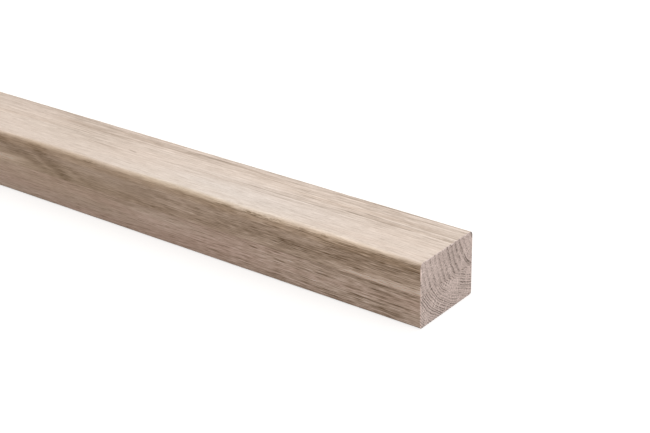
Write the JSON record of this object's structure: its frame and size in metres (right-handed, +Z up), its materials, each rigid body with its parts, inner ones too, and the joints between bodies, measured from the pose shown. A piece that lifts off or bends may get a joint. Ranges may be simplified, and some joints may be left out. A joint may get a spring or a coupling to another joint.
{
  "type": "wooden handrail",
  "caption": "Straight rectangular oak handrail of two glued boards, with rounded long edges and square-cut ends, to be held on brackets or between posts.",
  "frame": {"origin": "middle of the underside, halfway along the rail", "axes": "+X along the rail towards the end shown in the picture, +Y across it away from the long side shown, +Z up through the grip face"},
  "size_m": [1, 0.058, 0.045],
  "materials": {
    "oak_upper": "fine-sanded, unfinished pale oak, slightly olive",
    "oak_lower": "fine-sanded, unfinished pale oak, slightly pink"
  },
  "bodies": {
    "root": {"upper_board": "oak_upper", "lower_board": "oak_lower"}
  },
  "joints": []
}
